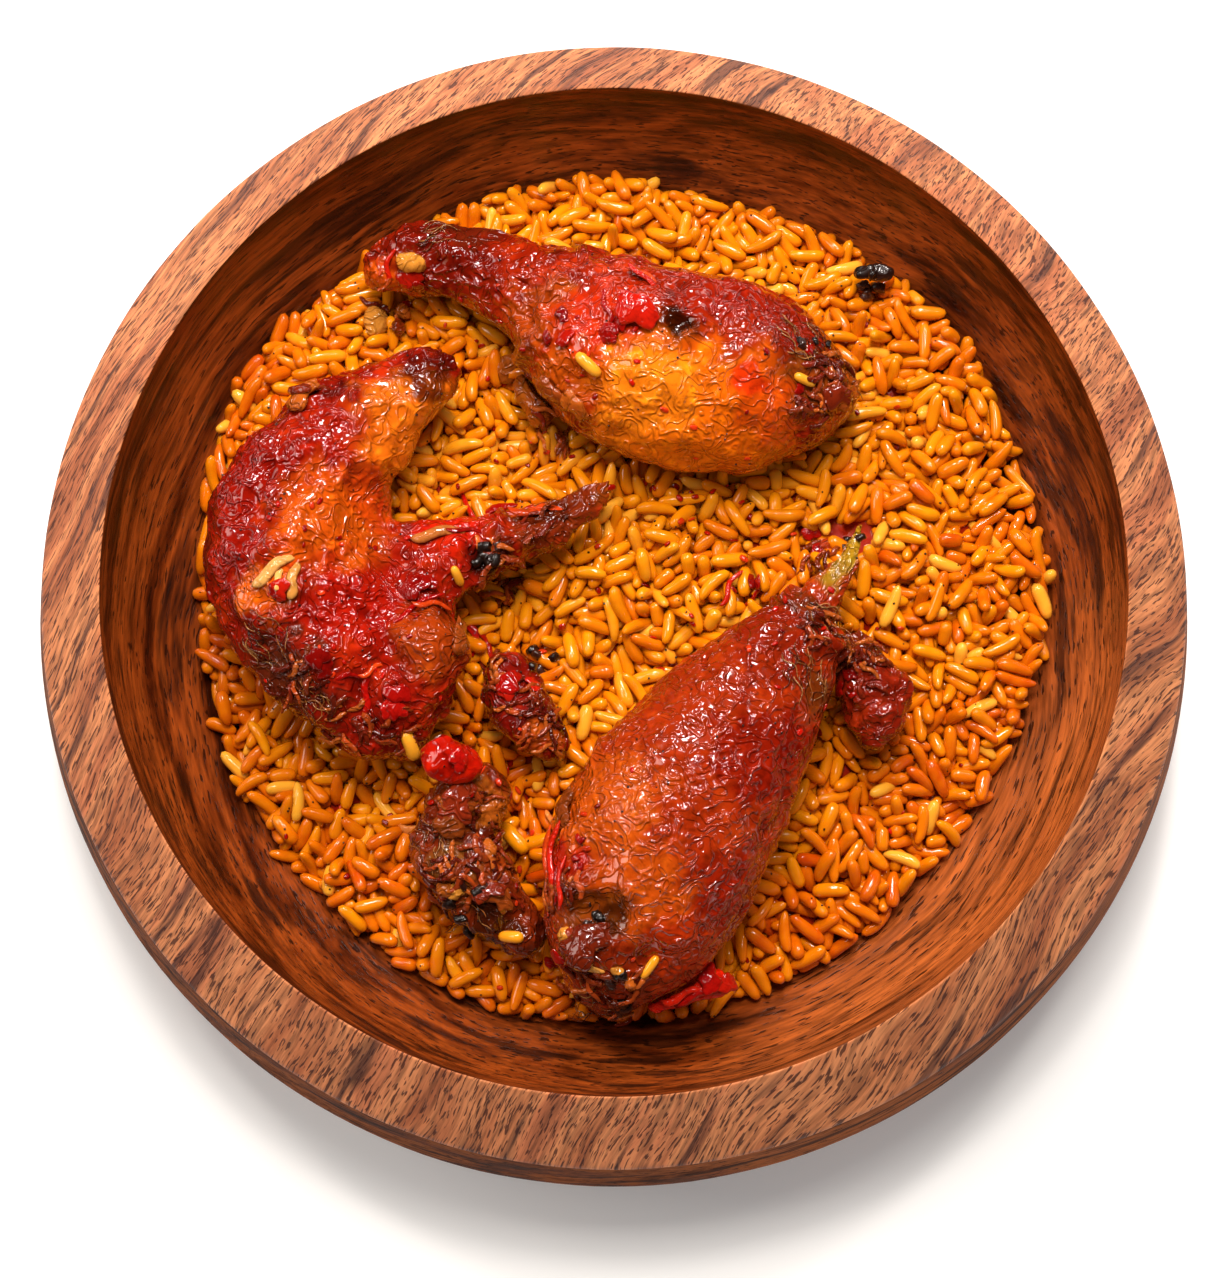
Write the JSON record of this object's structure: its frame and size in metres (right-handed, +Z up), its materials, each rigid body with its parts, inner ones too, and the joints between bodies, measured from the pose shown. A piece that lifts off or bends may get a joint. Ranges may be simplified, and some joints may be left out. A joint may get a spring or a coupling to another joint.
{
  "type": "jollof rice",
  "caption": "Heap of red-orange jollof rice in a round turned wooden bowl, topped with stewed chicken pieces, scraps of meat and bits of tomato.",
  "frame": {"origin": "centre of the bowl's foot, on the surface that it stands on", "axes": "+Z up along the bowl's axis, -Y towards the diner, +X to the diner's right; the drumstick lies at the back"},
  "size_m": [0.298, 0.298, 0.0939],
  "materials": {
    "bowl_wood": "turned hardwood, oiled, rim drier and lighter than the inside",
    "rice": null,
    "chicken": null,
    "meat": null,
    "tomato": null,
    "burnt": null
  },
  "bodies": {
    "root": {"bowl": "bowl_wood", "rice": "rice", "drumstick": "chicken", "wing": "chicken", "leg": "chicken", "back_piece": "meat", "scrap_middle": "meat", "scrap_right": "meat", "tomato_lump": "tomato", "tomato_slice": "tomato", "skin_scrap": "chicken", "burnt_bud": "burnt"}
  },
  "joints": []
}
